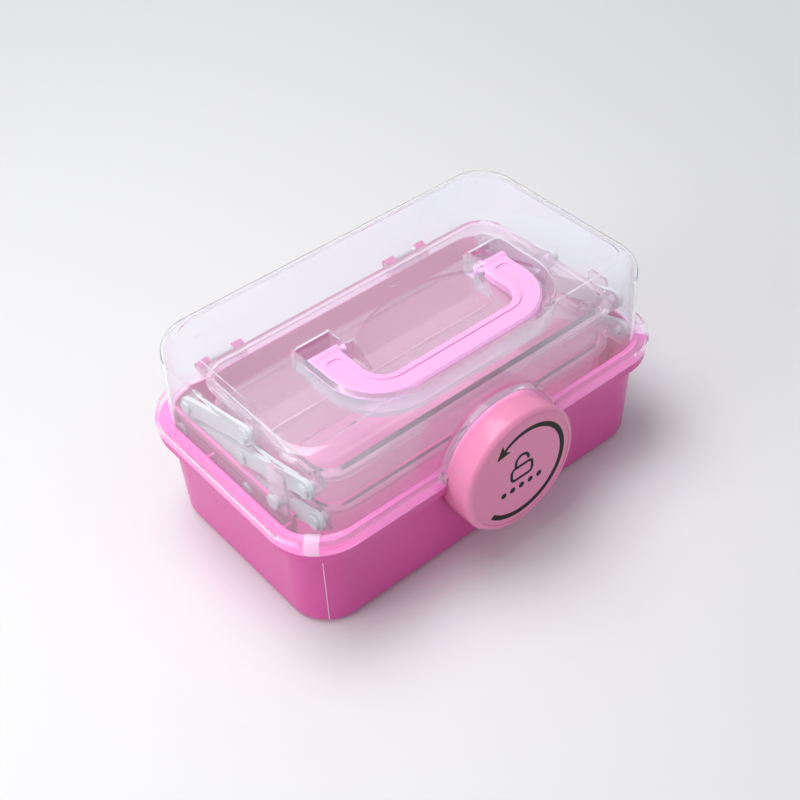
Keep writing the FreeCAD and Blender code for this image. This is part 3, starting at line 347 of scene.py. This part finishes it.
def printed(name, outline, material):
    """A patch of ink on the knob's face; outline goes round it as x and z."""
    centre = joint_place("knob_turn")
    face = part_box("lock_knob")[0].y + KNOB_DISH
    count = len(outline)
    points = []
    for depth in (face, face - INK_THICK):
        for x, z in outline:
            points.append((centre.x + x, depth, centre.z + z))
    faces = [tuple(range(count)), tuple(reversed(range(count, 2 * count)))]
    for index in range(count):
        ahead = (index + 1) % count
        faces.append((index, index + count, ahead + count, ahead))
    add_piece(name, points, faces, material, "knob")


def printed_stroke(name, spine, halves, material, closed=False):
    """A line of ink along a spine of x and z, with a half width at each point."""
    centre = joint_place("knob_turn")
    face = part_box("lock_knob")[0].y + KNOB_DISH
    count = len(spine)
    points = []
    for index, (x, z) in enumerate(spine):
        before = spine[index - 1] if index or closed else spine[0]
        after = spine[(index + 1) % count] if index < count - 1 or closed else spine[-1]
        along = Vector((after[0] - before[0], after[1] - before[1])).normalized()
        across = Vector((-along.y, along.x)) * halves[index]
        for depth in (face, face - INK_THICK):
            for sign in (1, -1):
                points.append((centre.x + x + sign * across.x, depth, centre.z + z + sign * across.y))
    add_piece(name, points, bar_faces(count, closed), material, "knob")


def arc_points(x, z, radius, start, end, steps):
    """Points on a circle from one angle to another, both in degrees."""
    points = []
    for step in range(steps + 1):
        angle = math.radians(start + (end - start) * step / steps)
        points.append((x + radius * math.cos(angle), z + radius * math.sin(angle)))
    return points


def rounded_box(left, right, low, high, radius):
    corners = ((right - radius, high - radius, 0), (left + radius, high - radius, 90),
               (left + radius, low + radius, 180), (right - radius, low + radius, 270))
    points = []
    for x, z, start in corners:
        points += arc_points(x, z, radius, start, start + 90, CORNER_STEPS)
    return points


def print_ring(material):
    """The turning arrow: a ring that starts thin and close at its head and grows along its way."""
    spine = []
    halves = []
    for step in range(RING_STEPS + 1):
        turn = math.radians(RING_HEAD + (RING_TAIL - RING_HEAD) * step / RING_STEPS)
        grown = min(1.0, step / RING_GROWS)
        grown = grown * (2.0 - grown)
        radius = RING_NEAR + (RING_RADIUS - RING_NEAR) * grown
        spine.append((radius * math.cos(turn), radius * math.sin(turn)))
        halves.append((RING_THIN + (RING_STROKE - RING_THIN) * grown) / 2)
    printed_stroke("ring", spine, halves, material)
    root = Vector(spine[0])
    along = (root - Vector(spine[2])).normalized()
    across = Vector((along.y, -along.x))
    tip = root + along * ARROW_LONG
    notch = root + along * ARROW_NOTCH
    right, left = [root - along * ARROW_BACK + across * side for side in (ARROW_HALF, -ARROW_HALF)]
    printed("arrow", [tuple(spot) for spot in (right, notch, left, tip)], material)


def print_padlock(material):
    """An open padlock in outline."""
    top = LOCK_LOW + LOCK_TALL
    body = rounded_box(-LOCK_HALF, LOCK_HALF, LOCK_LOW, top, LOCK_CORNER)
    printed_stroke("padlock", body, [LOCK_STROKE / 2] * len(body), material, closed=True)
    rise = top + SHACKLE_RISE
    shackle = [(-SHACKLE_RADIUS, top), (-SHACKLE_RADIUS, (top + rise) / 2)]
    shackle += arc_points(0.0, rise, SHACKLE_RADIUS, SHACKLE_START, SHACKLE_END, SHACKLE_STEPS)
    printed_stroke("shackle", shackle, [LOCK_STROKE / 2] * len(shackle), material)


def print_dots(material):
    """A plain row of dots below the padlock."""
    last_angle = 360.0 - 360.0 / DOT_SIDES
    for place in range(-DOTS_PER_SIDE, DOTS_PER_SIDE + 1):
        dot = arc_points(place * DOT_STEP, -DOT_DROP, DOT_RADIUS, 0.0, last_angle, DOT_SIDES - 1)
        printed("dot_%d" % (place + DOTS_PER_SIDE + 1), dot, material)


def print_knob():
    material = ink()
    print_ring(material)
    print_padlock(material)
    print_dots(material)


def add_straps(material):
    """Cloudy straps that bend over the skirt of the lid at its two front corners."""
    low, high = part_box("lid")
    faces = bar_faces(len(STRAP_PROFILE))
    for word, sign in (("left", -1), ("right", 1)):
        corner = Vector((sign * (high.x - SKIRT_CORNER), low.y + SKIRT_CORNER, 0.0))
        out = Vector((sign * math.sqrt(0.5), -math.sqrt(0.5), 0.0))
        side = Vector((-out.y, out.x, 0.0)) * STRAP_HALF
        points = []
        for row in STRAP_PROFILE:
            for reach, height in row:
                for half in (side, -side):
                    spot = corner + out * reach * MM + half
                    points.append((spot.x, spot.y, height * MM))
        strap = add_piece(word + "_corner_strap", points, faces, material, "lid")


def add_highlight_line(material):
    """A thin raised line up one corner of the base, pale pink as a painted highlight."""
    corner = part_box("base_box")[0]
    centre = Vector((corner.x + HIGHLIGHT_LINE_CENTRE, corner.y + HIGHLIGHT_LINE_CENTRE, 0.0))
    turn = math.radians(HIGHLIGHT_LINE_TURN)
    out = Vector((math.cos(turn), math.sin(turn), 0.0))
    side = Vector((-out.y, out.x, 0.0)) * HIGHLIGHT_LINE_HALF
    points = []
    for radius, height in ((HIGHLIGHT_LINE_LOW_RADIUS, HIGHLIGHT_LINE_LOW), (HIGHLIGHT_LINE_HIGH_RADIUS, HIGHLIGHT_LINE_HIGH)):
        for rise in (-HIGHLIGHT_LINE_SUNK, HIGHLIGHT_LINE_RISE):
            for half in (side, -side):
                spot = centre + out * (radius + rise) + half
                points.append((spot.x, spot.y, height))
    faces = [(0, 1, 3, 2), (4, 6, 7, 5), (2, 3, 7, 6), (1, 0, 4, 5), (0, 2, 6, 4), (3, 1, 5, 7)]
    add_piece("painted_highlight_line", points, faces, material, "base")


def seen_directly(tree):
    """A socket that is 1 for what the camera sees, also through clear plastic or in a reflection."""
    path = tree.nodes.new("ShaderNodeLightPath")
    seen = path.outputs["Is Camera Ray"]
    for name in ("Is Glossy Ray", "Is Transmission Ray"):
        either = tree.nodes.new("ShaderNodeMath")
        either.operation = "MAXIMUM"
        tree.links.new(seen, either.inputs[0])
        tree.links.new(path.outputs[name], either.inputs[1])
        seen = either.outputs["Value"]
    return seen


def fade_far_floor(material, shader):
    """Let the floor turn into the pale background far from the box and its shadow."""
    tree = material.node_tree
    place = tree.nodes.new("ShaderNodeTexCoord")
    reach = tree.nodes.new("ShaderNodeVectorMath")
    reach.operation = "LENGTH"
    far = tree.nodes.new("ShaderNodeMapRange")
    far.inputs["From Min"].default_value = FADE_START
    far.inputs["From Max"].default_value = FADE_END
    share = tree.nodes.new("ShaderNodeMath")
    share.operation = "MULTIPLY"
    glow = tree.nodes.new("ShaderNodeEmission")
    glow.inputs["Color"].default_value = (*WORLD_COLOUR, 1.0)
    glow.inputs["Strength"].default_value = WORLD_SEEN
    tree.links.new(place.outputs["Object"], reach.inputs[0])
    tree.links.new(reach.outputs["Value"], far.inputs["Value"])
    tree.links.new(far.outputs["Result"], share.inputs[0])
    tree.links.new(seen_directly(tree), share.inputs[1])
    mix_shaders(tree, share.outputs["Value"], shader.outputs["BSDF"], glow.outputs["Emission"])


def add_floor():
    bpy.ops.mesh.primitive_plane_add(size=FLOOR_SIZE, location=(0.0, 0.0, 0.0))
    floor = bpy.context.object
    floor.name = "floor"
    material, shader = plain_material("floor", FLOOR_TONE, FLOOR_ROUGHNESS)
    fade_far_floor(material, shader)
    floor.data.materials.append(material)


def add_world():
    """Soft light from all round, with a paler face for what is seen directly."""
    world = bpy.data.worlds.new("studio")
    bpy.context.scene.world = world
    world.use_nodes = True
    tree = world.node_tree
    shader = tree.nodes["Background"]
    shader.inputs["Color"].default_value = (*WORLD_COLOUR, 1.0)
    strength = tree.nodes.new("ShaderNodeMapRange")
    strength.inputs["To Min"].default_value = WORLD_LIGHT
    strength.inputs["To Max"].default_value = WORLD_SEEN
    tree.links.new(seen_directly(tree), strength.inputs["Value"])
    tree.links.new(strength.outputs["Result"], shader.inputs["Strength"])


def add_lights():
    for name, place, size, power in LIGHTS:
        data = bpy.data.lights.new(name, "AREA")
        data.shape = "RECTANGLE"
        data.size, data.size_y = size
        data.energy = power
        lamp = bpy.data.objects.new(name, data)
        lamp.location = place
        aim = LIGHT_AIM - Vector(place)
        lamp.rotation_euler = aim.to_track_quat("-Z", "Y").to_euler()
        bpy.context.scene.collection.objects.link(lamp)


def add_camera():
    data = bpy.data.cameras.new("camera")
    data.lens = CAMERA_LENS
    data.sensor_width = CAMERA_SENSOR
    camera = bpy.data.objects.new("camera", data)
    back = CAMERA_RIGHT.cross(CAMERA_UP)
    turn = Matrix((CAMERA_RIGHT, CAMERA_UP, back)).transposed()
    camera.matrix_world = Matrix.Translation(CAMERA_PLACE) @ turn.to_4x4()
    bpy.context.scene.collection.objects.link(camera)
    bpy.context.scene.camera = camera


dress_all()
print_knob()
add_straps(clear_plastic("cloudy plastic", CLEAR_TINT, STRAP_HAZE, roughness=0.25))
add_highlight_line(painted_highlight_plastic())
add_floor()
add_world()
add_lights()
add_camera()
bpy.context.scene.view_settings.view_transform = "Standard"
